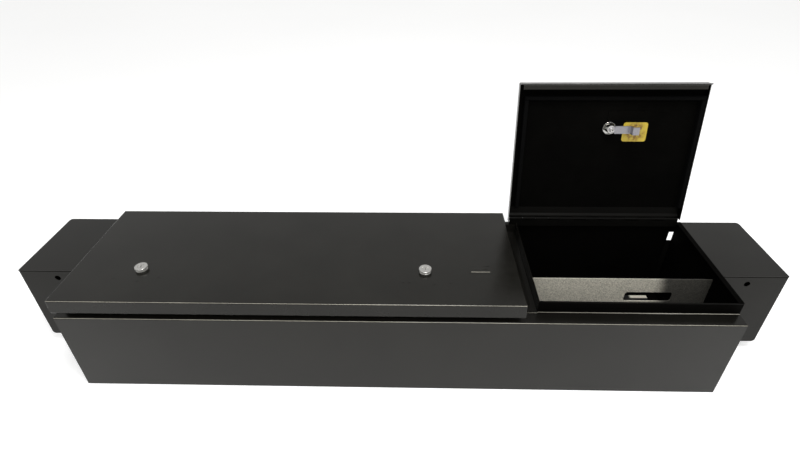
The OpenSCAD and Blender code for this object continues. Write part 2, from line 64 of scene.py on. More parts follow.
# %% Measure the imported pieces
SHEET = 0.0015
FOLD_R = 0.003
CORNER_R = 0.008
BODY_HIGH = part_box("body_wrap")[1]
CAP_LOW, CAP_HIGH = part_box("left_end_cap")
LEFT_LOW, LEFT_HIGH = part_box("left_lid_shell")
OPEN_LOW, OPEN_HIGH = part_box("right_lid_shell")
LEFT_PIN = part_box("left_hinge_pin")
FRONT, BACK = LEFT_LOW.y, LEFT_HIGH.y
END_X = -CAP_LOW.x
LID_Z, SKIRT_Z = LEFT_HIGH.z, LEFT_LOW.z
RIM_Z = CAP_HIGH.z
LEDGE_Z = RIM_Z - 0.032
SIDE_Z = RIM_Z + 0.001
HEM = 0.012
HINGE_Y = (LEFT_PIN[0].y + LEFT_PIN[1].y) / 2
HINGE_Z = (LEFT_PIN[0].z + LEFT_PIN[1].z) / 2
print("lid top", LID_Z, "skirt", SKIRT_Z, "hinge", HINGE_Y, HINGE_Z)


def joint_named(name):
    """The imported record's entry for one joint."""
    joints = frame["record"]["behaviour"]["joints"]
    return next(joint for joint in joints if joint["name"] == name)


OPEN_ANGLE = math.radians(joint_named("right_lid_hinge")["range_deg"][0])
LOCK_X = {key: joint_named(f"lock_{key}_turn")["pos_m"][0] for key in "abc"}
LOCK_Y = joint_named("lock_a_turn")["pos_m"][1]
print("open angle", math.degrees(OPEN_ANGLE), "locks", LOCK_X, LOCK_Y)

# %% [markdown]
# ## Camera
# The box is seen from above its right half, a little under a metre in front of it, with
# a wide lens. The camera looks down by about a third of a right angle, which shows the
# lid tops, the front and the inside of the open lid at once.

# %% Place the camera
CAMERA_PLACE = Vector((0.0389, -0.95448, 0.99702))
PITCH, YAW, ROLL = (math.radians(angle) for angle in (34.073, -1.794, 0.657))


def camera_turn():
    """The camera's axes as a matrix: right, up and back as columns."""
    ahead = Vector((math.sin(YAW) * math.cos(PITCH), math.cos(YAW) * math.cos(PITCH),
                    -math.sin(PITCH)))
    level = Vector((math.cos(YAW), -math.sin(YAW), 0))
    down = ahead.cross(level)
    right = level * math.cos(ROLL) + down * math.sin(ROLL)
    up = level * math.sin(ROLL) - down * math.cos(ROLL)
    return Matrix((right, up, -ahead)).transposed().to_4x4()


lens = bpy.data.cameras.new("camera")
lens.lens = 22.482
lens.sensor_width = 36
lens.sensor_fit = "HORIZONTAL"
lens.clip_end = 50
camera = bpy.data.objects.new("camera", lens)
camera.matrix_world = Matrix.Translation(CAMERA_PLACE) @ camera_turn()
bpy.context.scene.collection.objects.link(camera)
bpy.context.scene.camera = camera
print("camera", [round(v, 3) for v in camera.location])

# %% [markdown]
# ## Floor and light
# The studio is a pale sheet on the ground under soft light. A long strip hangs in front
# of the box, a small panel over it lights the inside of the open bay, and two weak
# ones stand at the sides, so the flat black faces differ in tone.

# %% Helpers for node materials


def new_material(name):
    """An empty node material with its shader and its output."""
    material = bpy.data.materials.new(name)
    material.use_nodes = True
    tree = material.node_tree
    tree.nodes.clear()
    shader = tree.nodes.new("ShaderNodeBsdfPrincipled")
    output = tree.nodes.new("ShaderNodeOutputMaterial")
    tree.links.new(shader.outputs["BSDF"], output.inputs["Surface"])
    return material, tree, shader


def add_node(tree, kind, inputs=None, **settings):
    """A node of one kind with its settings, and numbers or links on its inputs."""
    node = tree.nodes.new("ShaderNode" + kind)
    for key, value in settings.items():
        setattr(node, key, value)
    for key, value in (inputs or {}).items():
        if isinstance(value, bpy.types.NodeSocket):
            tree.links.new(value, node.inputs[key])
        else:
            node.inputs[key].default_value = value
    return node


def rgb(grey, tint=(1.0, 1.0, 1.0)):
    """A colour from one grey value and a tint."""
    return tuple(grey * part for part in tint) + (1.0,)


def ramp_between(tree, source, stops):
    """A colour ramp: stops are pairs of a position and a colour."""
    node = add_node(tree, "ValToRGB", {"Fac": source})
    ramp = node.color_ramp
    while len(ramp.elements) < len(stops):
        ramp.elements.new(0.5)
    for element, (place, colour) in zip(ramp.elements, stops):
        element.position = place
        element.color = colour
    return node.outputs["Color"]


# %% Make the floor, the world and the lamps
FLOOR_HALF = 30.0

floor_material, floor_tree, floor_shader = new_material("studio_floor")
floor_place = add_node(floor_tree, "TexCoord").outputs["Object"]
floor_noise = add_node(floor_tree, "TexNoise", {"Vector": floor_place, "Scale": 0.6})
floor_colour = ramp_between(floor_tree, floor_noise.outputs["Fac"],
                            [(0.3, rgb(0.90)), (0.7, rgb(0.93))])
floor_tree.links.new(floor_colour, floor_shader.inputs["Base Color"])
floor_shader.inputs["Roughness"].default_value = 0.9
floor_shader.inputs["Specular IOR Level"].default_value = 0.1
floor_shader.inputs["Emission Color"].default_value = (1, 1, 1, 1)
floor_shader.inputs["Emission Strength"].default_value = 0.36

bm = bmesh.new()
bmesh.ops.create_grid(bm, x_segments=1, y_segments=1, size=FLOOR_HALF)
floor_mesh = bpy.data.meshes.new("floor")
bm.to_mesh(floor_mesh)
bm.free()
floor_mesh.materials.append(floor_material)
floor = bpy.data.objects.new("floor", floor_mesh)
bpy.context.scene.collection.objects.link(floor)

world = bpy.data.worlds.new("studio")
bpy.context.scene.world = world
world.use_nodes = True
world.node_tree.nodes["Background"].inputs["Color"].default_value = (1.0, 1.0, 0.99, 1)
world.node_tree.nodes["Background"].inputs["Strength"].default_value = 0.6


def softbox(name, place, aim, width, height, power):
    """A rectangular area lamp that faces a point."""
    light = bpy.data.lights.new(name, "AREA")
    light.shape = "RECTANGLE"
    light.size, light.size_y = width, height
    light.energy = power
    lamp = bpy.data.objects.new(name, light)
    turn = (Vector(aim) - Vector(place)).to_track_quat("-Z", "Y")
    lamp.matrix_world = Matrix.Translation(place) @ turn.to_matrix().to_4x4()
    bpy.context.scene.collection.objects.link(lamp)


softbox("front_strip", (0.0, -1.9, 2.1), (0, 0, 0.2), 3.6, 0.5, 26)
softbox("top_panel", (0.35, -0.75, 2.5), (0.45, 0.1, 0), 0.8, 0.8, 30)
softbox("left_panel", (-2.6, -1.6, 1.6), (-0.2, 0, 0.2), 1.6, 1.2, 4)
softbox("right_panel", (2.6, -1.4, 1.8), (0.2, 0, 0.2), 1.6, 1.2, 4)
scene_view = bpy.context.scene.view_settings
scene_view.view_transform = "Standard"

# %% [markdown]
# ## Powder coat
# The steel is sprayed with black powder and baked, which leaves a satin skin with a
# fine orange peel. A noise at about a millimetre drives a shallow bump, and a slow
# noise over a hand's breadth changes the tone and the gloss a little, as dust and
# wiping do. The lid tops get a lighter, shinier copy of the coat, painted light, and
# their skirts a darker, duller one, painted shade. Inside the bays the coat is much
# darker and mat: painted shade. On the folds that face forwards and up, the coat is
# painted pale: a painted highlight. Under the top plate of a wing, a thin line loses
# its sheen: a painted shade line.

# %% Make the powder coats
WARM = (1.0, 0.95, 0.80)


def powder_coat(name, dark, light, gloss, peel=0.06, shine=0.27):
    """Satin powder coat: a grey range, a roughness range and the depth of its peel."""
    material, tree, shader = new_material(name)
    place = add_node(tree, "TexCoord").outputs["Object"]
    slow = add_node(tree, "TexNoise", {"Vector": place, "Scale": 7.0, "Detail": 4.0,
                                       "Roughness": 0.6})
    colour = ramp_between(tree, slow.outputs["Fac"],
                          [(0.3, rgb(dark, WARM)), (0.72, rgb(light, WARM))])
    tree.links.new(colour, shader.inputs["Base Color"])
    smear = add_node(tree, "TexNoise", {"Vector": place, "Scale": 38.0, "Detail": 3.0})
    rough = add_node(tree, "MapRange", {"Value": smear.outputs["Fac"], "From Min": 0.3,
                                        "From Max": 0.7, "To Min": gloss[0],
                                        "To Max": gloss[1]})
    tree.links.new(rough.outputs["Result"], shader.inputs["Roughness"])
    fine = add_node(tree, "TexNoise", {"Vector": place, "Scale": 900.0, "Detail": 2.0})
    bump = add_node(tree, "Bump", {"Height": fine.outputs["Fac"], "Strength": peel,
                                   "Distance": 0.0006})
    tree.links.new(bump.outputs["Normal"], shader.inputs["Normal"])
    shader.inputs["Specular IOR Level"].default_value = shine
    shader.inputs["Specular Tint"].default_value = (1.0, 0.985, 0.94, 1)
    return material


coat = powder_coat("black_powder_coat", 0.005, 0.008, (0.17, 0.25))
# The lid tops get a lighter, shinier copy of the coat, painted light; the skirts a darker,
# duller one, painted shade.
lid_sheen_coat = powder_coat("lid_sheen_powder_coat", 0.006, 0.010, (0.17, 0.25), shine=0.36)
skirt_shade_coat = powder_coat("skirt_shade_powder_coat", 0.004, 0.007, (0.2, 0.3), shine=0.24)
# Inside faces get a much darker, mat copy of the coat: painted shade.
inner_shade_coat = powder_coat("inner_shade_powder_coat", 0.0008, 0.0016, (0.7, 0.85), 0.04, 0.02)
hinge_coat = powder_coat("black_hinge", 0.0012, 0.0025, (0.5, 0.6), 0.1, 0.08)
# A pale copy of the coat for folds that face forwards and up: a painted highlight.
highlight_coat = powder_coat("painted_highlight_coat", 0.24, 0.42, (0.3, 0.45), 0.1)


# The wing fronts get less sheen than the body coat, painted shade, and none at all in a thin
# line just under their top plate, a painted shade line.
WING_SHINE = 0.15
SEAM_LOW, SEAM_SOFT = 0.004, 0.001
WING_SEAM_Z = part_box("left_wing_front")[1].z


def shadow_seam(material, start, full):
    """Takes the sheen off a coat above a soft step between two heights: a painted shade line
    under a wing's top plate.
    """
    tree = material.node_tree
    place = add_node(tree, "TexCoord").outputs["Object"]
    up = add_node(tree, "SeparateXYZ", {"Vector": place}).outputs["Z"]
    sheen = add_node(tree, "MapRange", {"Value": up, "From Min": start, "From Max": full,
                                        "To Min": WING_SHINE, "To Max": 0.0})
    shader = tree.nodes["Principled BSDF"]
    tree.links.new(sheen.outputs["Result"], shader.inputs["Specular IOR Level"])
    return material


seam_shade_coat = shadow_seam(powder_coat("seam_shade_powder_coat", 0.005, 0.008, (0.17, 0.25)),
                          WING_SEAM_Z - SEAM_LOW, WING_SEAM_Z - SEAM_LOW + SEAM_SOFT)
print("coats", [m.name for m in (coat, lid_sheen_coat, skirt_shade_coat, seam_shade_coat, inner_shade_coat,
                                 hinge_coat, highlight_coat)])

# %% [markdown]
# ## Bright metals, rubber and label
# The lock is nickel plated, its cam is zinc plated, and both carry fine scratches. The
# seals are closed-cell foam, which is dull and full of small pits. The divider has a
# rough grey coat with dark and light grains, darkened near the end wall by a painted
# shadow; its foot is painted dark, painted shade, but for a pale patch of painted
# light. The label is glossy vinyl.

# %% Make the bright metals


def plated(name, tint, gloss, streak=(1.0, 1.0, 1.0)):
    """Plated metal whose gloss changes along fine streaks."""
    material, tree, shader = new_material(name)
    place = add_node(tree, "TexCoord").outputs["Object"]
    turned = add_node(tree, "Mapping", {"Vector": place, "Scale": streak})
    noise = add_node(tree, "TexNoise", {"Vector": turned.outputs["Vector"], "Scale": 500.0,
                                        "Detail": 5.0})
    colour = ramp_between(tree, noise.outputs["Fac"],
                          [(0.3, rgb(0.82, tint)), (0.7, rgb(1.0, tint))])
    tree.links.new(colour, shader.inputs["Base Color"])
    rough = add_node(tree, "MapRange", {"Value": noise.outputs["Fac"], "From Min": 0.3,
                                        "From Max": 0.7, "To Min": gloss[0],
                                        "To Max": gloss[1]})
    tree.links.new(rough.outputs["Result"], shader.inputs["Roughness"])
    bump = add_node(tree, "Bump", {"Height": noise.outputs["Fac"], "Strength": 0.08,
                                   "Distance": 0.0002})
    tree.links.new(bump.outputs["Normal"], shader.inputs["Normal"])
    shader.inputs["Metallic"].default_value = 1.0
    return material


nickel = plated("bright_nickel", (0.74, 0.73, 0.70), (0.08, 0.2))
zinc = plated("zinc_plate", (0.40, 0.39, 0.42), (0.24, 0.4), (1.0, 6.0, 6.0))
pin_steel = plated("drawn_steel", (0.5, 0.5, 0.49), (0.28, 0.45), (0.1, 4.0, 4.0))
satin_nickel = plated("satin_nickel", (0.62, 0.61, 0.58), (0.5, 0.65))

# %% Make the foam, the divider's coat and the vinyl


def foam_rubber():
    """Dull closed-cell foam with small round pits."""
    material, tree, shader = new_material("black_foam")
    place = add_node(tree, "TexCoord").outputs["Object"]
    cells = add_node(tree, "TexVoronoi", {"Vector": place, "Scale": 700.0})
    colour = ramp_between(tree, cells.outputs["Distance"],
                          [(0.1, rgb(0.0005)), (0.6, rgb(0.002))])
    tree.links.new(colour, shader.inputs["Base Color"])
    bump = add_node(tree, "Bump", {"Height": cells.outputs["Distance"], "Strength": 0.5,
                                   "Distance": 0.0008})
    tree.links.new(bump.outputs["Normal"], shader.inputs["Normal"])
    shader.inputs["Roughness"].default_value = 0.92
    shader.inputs["Specular IOR Level"].default_value = 0.04
    return material


PATCH_SOFT_X, PATCH_SOFT_Y = 0.006, 0.003


def grained_coat(shadow_start, shadow_full, foot_top, patch_x, patch_y):
    """A rough grey coat with a painted shadow over one end, and a foot painted dark but for a
    pale patch of painted light.
    """
    material, tree, shader = new_material("grey_textured_coat")
    place = add_node(tree, "TexCoord").outputs["Object"]
    grains = add_node(tree, "TexNoise", {"Vector": place, "Scale": 420.0, "Detail": 6.0,
                                         "Roughness": 0.8})
    tone = ramp_between(tree, grains.outputs["Fac"], [
        (0.34, rgb(0.16, WARM)), (0.5, rgb(0.48, WARM)), (0.68, rgb(0.8, WARM))])
    # Dark grains for the painted shadow at the end near the end wall.
    shadowed_grains = ramp_between(tree, grains.outputs["Fac"], [
        (0.4, rgb(0.02, WARM)), (0.6, rgb(0.07, WARM))])
    across = add_node(tree, "SeparateXYZ", {"Vector": place}).outputs["X"]
    cloud = add_node(tree, "TexNoise", {"Vector": place, "Scale": 14.0, "Detail": 3.0})
    edge = add_node(tree, "Math", {0: cloud.outputs["Fac"], 1: 0.06, 2: across},
                    operation="MULTIPLY_ADD")
    painted_shadow = add_node(tree, "MapRange", {"Value": edge.outputs[0], "From Min": shadow_start,
                                       "From Max": shadow_full}, interpolation_type="SMOOTHSTEP")
    colour = add_node(tree, "Mix", {"Factor": painted_shadow.outputs["Result"], "A": tone,
                                    "B": shadowed_grains}, data_type="RGBA")
    apart = add_node(tree, "SeparateXYZ", {"Vector": place})
    # Below foot_top the foot is painted dark, painted shade, except for a pale patch of painted
    # light.
    low = add_node(tree, "Math", {0: apart.outputs["Z"], 1: foot_top}, operation="LESS_THAN")
    behind = add_node(tree, "MapRange", {"Value": apart.outputs["Y"], "From Min": patch_y,
                                         "From Max": patch_y + PATCH_SOFT_Y})
    beside = add_node(tree, "MapRange", {"Value": apart.outputs["X"], "From Min": patch_x,
                                         "From Max": patch_x + PATCH_SOFT_X})
    patch = add_node(tree, "Math", {0: behind.outputs["Result"],
                                    1: beside.outputs["Result"]}, operation="MULTIPLY")
    foot = add_node(tree, "Mix", {"Factor": patch.outputs[0], "A": rgb(0.004)},
                    data_type="RGBA")
    pale = ramp_between(tree, grains.outputs["Fac"], [
        (0.3, rgb(0.7, WARM)), (0.6, rgb(0.95, WARM))])
    tree.links.new(pale, foot.inputs["B"])
    whole = add_node(tree, "Mix", {"Factor": low.outputs[0], "A": colour.outputs["Result"],
                                   "B": foot.outputs["Result"]}, data_type="RGBA")
    tree.links.new(whole.outputs["Result"], shader.inputs["Base Color"])
    bump = add_node(tree, "Bump", {"Height": grains.outputs["Fac"], "Strength": 0.6,
                                   "Distance": 0.0008})
    tree.links.new(bump.outputs["Normal"], shader.inputs["Normal"])
    shader.inputs["Roughness"].default_value = 0.7
    return material


def label_vinyl(centre, half_width):
    """Glossy yellow vinyl with soft orange and brown smudges round its middle."""
    material, tree, shader = new_material("yellow_vinyl")
    place = add_node(tree, "TexCoord").outputs["Object"]
    moved = add_node(tree, "Mapping", {"Vector": place, "Location": [-v for v in centre]})
    smudge = add_node(tree, "TexNoise", {"Vector": moved.outputs["Vector"], "Scale": 95.0,
                                         "Detail": 4.0, "Roughness": 0.65})
    colour = ramp_between(tree, smudge.outputs["Fac"], [
        (0.36, (0.07, 0.035, 0.006, 1)), (0.46, (0.22, 0.12, 0.012, 1)),
        (0.54, (0.34, 0.25, 0.03, 1)), (0.75, (0.42, 0.34, 0.05, 1))])
    near = add_node(tree, "VectorMath", {0: moved.outputs["Vector"]}, operation="LENGTH")
    rim = add_node(tree, "MapRange", {"Value": near.outputs["Value"],
                                      "From Min": half_width * 0.55, "From Max": half_width})
    tone = add_node(tree, "Mix", {"Factor": rim.outputs["Result"], "A": colour,
                                  "B": (0.46, 0.34, 0.03, 1)}, data_type="RGBA")
    tree.links.new(tone.outputs["Result"], shader.inputs["Base Color"])
    shader.inputs["Roughness"].default_value = 0.28
    return material


LABEL_LOW, LABEL_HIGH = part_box("right_lid_label")
DIVIDER_LOW, DIVIDER_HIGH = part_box("bay_divider")
foam = foam_rubber()
# The painted shadow covers the divider's end next to the end wall; the pale painted light lies
# on its foot.
SHADOW_START_X, SHADOW_FULL_X = DIVIDER_HIGH.x - 0.105, DIVIDER_HIGH.x - 0.06
FOOT_TOP = DIVIDER_LOW.z + 0.004
PATCH_X, PATCH_Y = DIVIDER_HIGH.x - 0.0815, DIVIDER_HIGH.y - 0.0125
divider_coat = grained_coat(SHADOW_START_X, SHADOW_FULL_X, FOOT_TOP, PATCH_X, PATCH_Y)
vinyl = label_vinyl((LABEL_LOW + LABEL_HIGH) / 2, (LABEL_HIGH.x - LABEL_LOW.x) / 2)
print("finishes", [m.name for m in (nickel, zinc, pin_steel, foam, divider_coat, vinyl)])

# %% [markdown]
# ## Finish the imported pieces
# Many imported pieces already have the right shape: the channel, the wings, the hinges,
# the strikes and the cams. They keep their meshes and only get a material, which goes
# in each one's own slots.

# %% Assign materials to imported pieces
FINISHES = {
    coat: ["drain_channel", "left_wing_pan", "left_wing_top", "right_wing_pan",
           "right_wing_top"],
    seam_shade_coat: ["left_wing_front", "right_wing_front"],
    # Parts inside the bays and the lock guards under the lids take the dark inner coat: painted
    # shade.
    inner_shade_coat: ["bay_partition", "divider_angles", "lock_guard_a", "lock_guard_b",
                 "lock_guard_c"],
    divider_coat: ["bay_divider"],
    hinge_coat: ["left_hinge_body_leaf", "left_hinge_lid_leaf", "right_hinge_body_leaf",
                 "right_hinge_lid_leaf"],
    pin_steel: ["left_hinge_pin", "right_hinge_pin"],
    zinc: ["left_strike_a", "left_strike_b", "right_strike", "lock_cam_a", "lock_cam_b",
           "lock_cam_c"],
    nickel: ["lock_plug_a", "lock_plug_b", "lock_plug_c"],
    foam: ["lock_gasket_a", "lock_gasket_b", "lock_gasket_c"],
}


def dress(name, material):
    """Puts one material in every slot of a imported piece."""
    piece = frame["nodes"][name]
    if not piece.material_slots:
        piece.data.materials.append(material)
    for slot in piece.material_slots:
        slot.link = "OBJECT"
        slot.material = material


for material, names in FINISHES.items():
    for name in names:
        dress(name, material)
print("dressed", sum(len(names) for names in FINISHES.values()), "packed pieces")

# %% [markdown]
# ## From a bmesh to a piece
# Each new piece is built shut and in place. Its object stays at the origin, so its
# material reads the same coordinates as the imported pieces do. A piece of the open lid
# is turned about the hinge line at the end, as one stiff sheet. Curves are shaded
# smooth, but a broad face stays flat, or the folds beside it would bend its sheen.

# %% Helpers that turn a bmesh into a piece
SMOOTH_UP_TO = math.radians(40)
BROAD_AREA = 0.003


def finish_piece(name, bm, materials, body, replaced=(), opened=False):
    """Makes an object of a bmesh, gives it its materials and its place in the model."""
    bmesh.ops.remove_doubles(bm, verts=bm.verts, dist=1e-6)
    if opened:
        bmesh.ops.rotate(bm, cent=(0, HINGE_Y, HINGE_Z), verts=bm.verts,
                         matrix=Matrix.Rotation(OPEN_ANGLE, 3, "X"))
    mesh = bpy.data.meshes.new(name)
    bm.to_mesh(mesh)
    bm.free()
    for material in materials:
        mesh.materials.append(material)
    mesh.shade_smooth()
    mesh.set_sharp_from_angle(angle=SMOOTH_UP_TO)
    for polygon in mesh.polygons:
        if polygon.area > BROAD_AREA:
            polygon.use_smooth = False
    piece = bpy.data.objects.new(name, mesh)
    bpy.context.scene.collection.objects.link(piece)
    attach(piece, body)
    if replaced:
        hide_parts(*replaced)
    return piece


def cube_bmesh(low, high):
    """A bmesh with one box between two corners."""
    bm = bmesh.new()
    bmesh.ops.create_cube(bm, size=1)
    low, high = Vector(low), Vector(high)
    bmesh.ops.scale(bm, vec=high - low, verts=bm.verts)
    bmesh.ops.translate(bm, vec=(low + high) / 2, verts=bm.verts)
    return bm


def round_edges(bm, edges, radius, segments=5):
    """Rounds edges with one radius."""
    bmesh.ops.bevel(bm, geom=list(edges), offset=radius, offset_type="OFFSET",
                    affect="EDGES", segments=segments, profile=0.5, material=-1,
                    clamp_overlap=True)


def join_bmesh(bm, part):
    """Adds a part to a bmesh and frees it."""
    mesh = bpy.data.meshes.new("part")
    part.to_mesh(mesh)
    part.free()
    bm.from_mesh(mesh)
    bpy.data.meshes.remove(mesh)


def wall(piece, thickness, inner_slot):
    """Gives a sheet its thickness inwards, with another finish on its inner face."""
    solid = piece.modifiers.new("wall", "SOLIDIFY")
    solid.thickness = thickness
    solid.offset = -1
    solid.use_even_offset = True
    solid.material_offset = inner_slot


# %% [markdown]
# ## Trough
# The body is one folded trough: floor, front and back, with a ledge and a standing
# coaming folded on in front, a ledge and a lip at the back, and an end wall
# welded into each end. A box with its top removed gives the trough. Its top edges are
# extruded along the ledges and up the coamings, and the folds are bevelled last.

# %% Helpers that pick edges and cut sheets


def faces_towards(bm, direction):
    """The faces whose normals point along a direction."""
    bm.normal_update()
    return [face for face in bm.faces if face.normal.dot(direction) > 0.9]


def edges_on(bm, **planes):
    """The edges that lie wholly in the given planes, such as y=0.18 or z=0.22."""
    def on(vert):
        return all(abs(getattr(vert.co, axis) - place) < 1e-5
                   for axis, place in planes.items())
    return [edge for edge in bm.edges if all(on(vert) for vert in edge.verts)]


def pull(bm, edges, step):
    """Extrudes edges by one step as new sheet."""
    grown = bmesh.ops.extrude_edge_only(bm, edges=edges)["geom"]
    verts = [item for item in grown if isinstance(item, bmesh.types.BMVert)]
    bmesh.ops.translate(bm, vec=step, verts=verts)


def slice_faces(bm, faces, axis, place):
    """Cuts some faces along a plane square to an axis."""
    normal = Vector([1.0 if letter == axis else 0.0 for letter in "xyz"])
    geom = set(faces)
    for face in faces:
        geom.update(face.edges)
        geom.update(face.verts)
    bmesh.ops.bisect_plane(bm, geom=list(geom), plane_co=normal * place, plane_no=normal)


def faces_in(bm, low, high):
    """The faces whose middles lie between two corners."""
    return [face for face in bm.faces
            if all(low[i] < face.calc_center_median()[i] < high[i] for i in range(3))]


# %% Fold the trough
CHANNEL_LOW, CHANNEL_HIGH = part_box("drain_channel")
HINGE_SPANS = [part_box("left_hinge_body_leaf"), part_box("right_hinge_body_leaf")]
LEDGE_D = 0.035
COAMING_Y = FRONT + LEDGE_D
LEAF_Y = LEFT_PIN[0].y
BACK_LEDGE_Z = LID_Z - 0.026
LIP_Y = BODY_HIGH.y - 0.0098
END_FLANGE = 0.012
CABLE_W, CABLE_LOW_Z, CABLE_HIGH_Z = 0.013, 0.185, 0.213
SHADE_STRIP = 0.004
TOUCH = 1e-4
# Each outer finish is followed by the finish of the wall's inner face behind it
TROUGH_FINISHES = [coat, inner_shade_coat, highlight_coat, inner_shade_coat, inner_shade_coat, inner_shade_coat,
                   hinge_coat, inner_shade_coat]
# Slot 2 is the pale painted highlight on the folds; slot 4 paints the coaming and the end
# walls' top flanges very dark, and slot 6 borrows the hinge coat for a slightly lighter strip
# at the coaming's top: painted shade. Inner faces take the dark inner coat, painted shade.
HIGHLIGHT, PAINTED_SHADE, STRIP = 2, 4, 6
FOLD_MIDDLE = 0.6


def trough_bmesh():
    """The trough, its ledges, coamings and end walls, as one open sheet."""
    bm = cube_bmesh((-END_X, FRONT, 0), (END_X, BACK, LEDGE_Z))
    bmesh.ops.delete(bm, geom=faces_towards(bm, Vector((0, 0, 1))), context="FACES")
    for place in (COAMING_Y, LEAF_Y):
        ends = [face for face in bm.faces if abs(face.normal.x) > 0.9]
        slice_faces(bm, ends, "y", place)
    pull(bm, edges_on(bm, y=FRONT, z=LEDGE_Z), (0, COAMING_Y - FRONT, 0))
    ledge_edge = [edge for edge in edges_on(bm, y=COAMING_Y, z=LEDGE_Z)
                  if edge.calc_length() > END_X]
    pull(bm, ledge_edge, (0, 0, RIM_Z - LEDGE_Z))
    for end in (-END_X, END_X):
        rim = [edge for edge in edges_on(bm, x=end, z=LEDGE_Z)
               if COAMING_Y < (edge.verts[0].co.y + edge.verts[1].co.y) / 2 < LEAF_Y]
        pull(bm, rim, (0, 0, RIM_Z - LEDGE_Z))
        corner = [edge for edge in edges_on(bm, x=end, z=LEDGE_Z)
                  if (edge.verts[0].co.y + edge.verts[1].co.y) / 2 > LEAF_Y]
        pull(bm, corner, (0, 0, BACK_LEDGE_Z - LEDGE_Z))
    back_top = [edge for edge in edges_on(bm, y=BACK, z=LEDGE_Z)
                if edge.calc_length() > END_X]
    pull(bm, back_top, (0, 0, BACK_LEDGE_Z - LEDGE_Z))
    bmesh.ops.remove_doubles(bm, verts=bm.verts, dist=1e-5)
    pull(bm, [edge for edge in edges_on(bm, y=BACK, z=BACK_LEDGE_Z)
              if edge.calc_length() > END_X], (0, LIP_Y - BACK, 0))
    pull(bm, [edge for edge in edges_on(bm, y=LIP_Y, z=BACK_LEDGE_Z)
              if edge.calc_length() > END_X], (0, 0, BODY_HIGH.z - BACK_LEDGE_Z))
    for end in (-END_X, END_X):
        inward = -math.copysign(END_FLANGE, end)
        pull(bm, [edge for edge in edges_on(bm, x=end, z=RIM_Z)
                  if edge.calc_length() > 0.1], (inward, 0, 0))
    return bm


def cut_trough(bm):
    """Opens the coaming at the channel, the lip between the hinges, and the window."""
    coaming = [(-1, COAMING_Y - TOUCH, LEDGE_Z + TOUCH), (1, COAMING_Y + TOUCH, RIM_Z + TOUCH)]
    channel = (CHANNEL_LOW.x + SHEET, CHANNEL_HIGH.x - SHEET)
    for place in channel:
        slice_faces(bm, faces_in(bm, *coaming), "x", place)
    gone = [face for face in faces_in(bm, *coaming)
            if channel[0] < face.calc_center_median().x < channel[1]]
    bmesh.ops.delete(bm, geom=gone, context="FACES")
    lip = [(-1, LIP_Y - TOUCH, BACK_LEDGE_Z + TOUCH), (1, LIP_Y + TOUCH, 1)]
    for low, high in HINGE_SPANS:
        for place in (low.x, high.x):
            slice_faces(bm, faces_in(bm, *lip), "x", place)
    gone = [face for face in faces_in(bm, *lip)
            if not any(low.x < face.calc_center_median().x < high.x
                       for low, high in HINGE_SPANS)]
    bmesh.ops.delete(bm, geom=gone, context="FACES")
    back = [(-1, BACK - TOUCH, 0), (1, BACK + TOUCH, LEDGE_Z)]
    window_x = (END_X - SHEET - CABLE_W, END_X - SHEET)
    for axis, places in (("x", window_x), ("z", (CABLE_LOW_Z, CABLE_HIGH_Z))):
        for place in places:
            slice_faces(bm, faces_in(bm, *back), axis, place)
    window = faces_in(bm, (window_x[0], BACK - TOUCH, CABLE_LOW_Z),
                      (window_x[1], BACK + TOUCH, CABLE_HIGH_Z))
    bmesh.ops.delete(bm, geom=window, context="FACES")


def mark_painted_highlight(bm, faces):
    """Puts the pale painted highlight on the middle of a fold, which faces forwards and up."""
    bm.normal_update()
    for face in faces:
        if face.normal.y < -FOLD_MIDDLE and face.normal.z > FOLD_MIDDLE:
            face.material_index = HIGHLIGHT


trough = trough_bmesh()
cut_trough(trough)
bmesh.ops.recalc_face_normals(trough, faces=trough.faces)
if faces_towards(trough, Vector((0, 0, -1)))[0].calc_center_median().z > LEDGE_Z:
    bmesh.ops.reverse_faces(trough, faces=trough.faces)
floor_edges = [edge for edge in trough.edges if len(edge.link_faces) == 2
               and edge.calc_face_angle(0) > 0.1
               and all(abs(v.co.z) < 1e-5 for v in edge.verts)]
round_edges(trough, floor_edges, CORNER_R, 6)
folds = [edge for edge in edges_on(trough, y=FRONT, z=LEDGE_Z)
         + edges_on(trough, y=COAMING_Y, z=LEDGE_Z) + edges_on(trough, y=BACK, z=BACK_LEDGE_Z)
         if len(edge.link_faces) == 2 and edge.calc_face_angle(0) > 0.1]
round_edges(trough, folds, FOLD_R)
# The fold at the top of the front and the fold at the foot of the coaming are painted pale:
# painted highlights.
ledge_fold = [(-1, -1, LEDGE_Z - FOLD_R), (1, 1, LEDGE_Z)]
foot_fold = [(-1, COAMING_Y - FOLD_R, LEDGE_Z), (1, COAMING_Y, LEDGE_Z + FOLD_R)]
for fold in (ledge_fold, foot_fold):
    mark_painted_highlight(trough, faces_in(trough, *fold))
# The coaming's front face is painted very dark, with a slightly lighter strip along its top:
# painted shade.
coaming_front = [(-1, COAMING_Y - TOUCH, LEDGE_Z), (1, COAMING_Y + TOUCH, RIM_Z + TOUCH)]
slice_faces(trough, faces_in(trough, *coaming_front), "z", RIM_Z - SHADE_STRIP)
for face in faces_in(trough, *coaming_front):
    below = face.calc_center_median().z < RIM_Z - SHADE_STRIP
    face.material_index = PAINTED_SHADE if below else STRIP
# The end walls' top flanges are painted very dark too: painted shade.
for face in faces_in(trough, (-1, COAMING_Y, RIM_Z - TOUCH), (1, LEAF_Y, RIM_Z + TOUCH)):
    face.material_index = PAINTED_SHADE
body = finish_piece("folded_trough", trough, TROUGH_FINISHES, "box",
                    ["body_wrap", "left_end_cap", "right_end_cap"])
wall(body, SHEET, 1)
print(body.name, len(body.data.polygons), "faces", [round(v, 4) for v in body.dimensions])

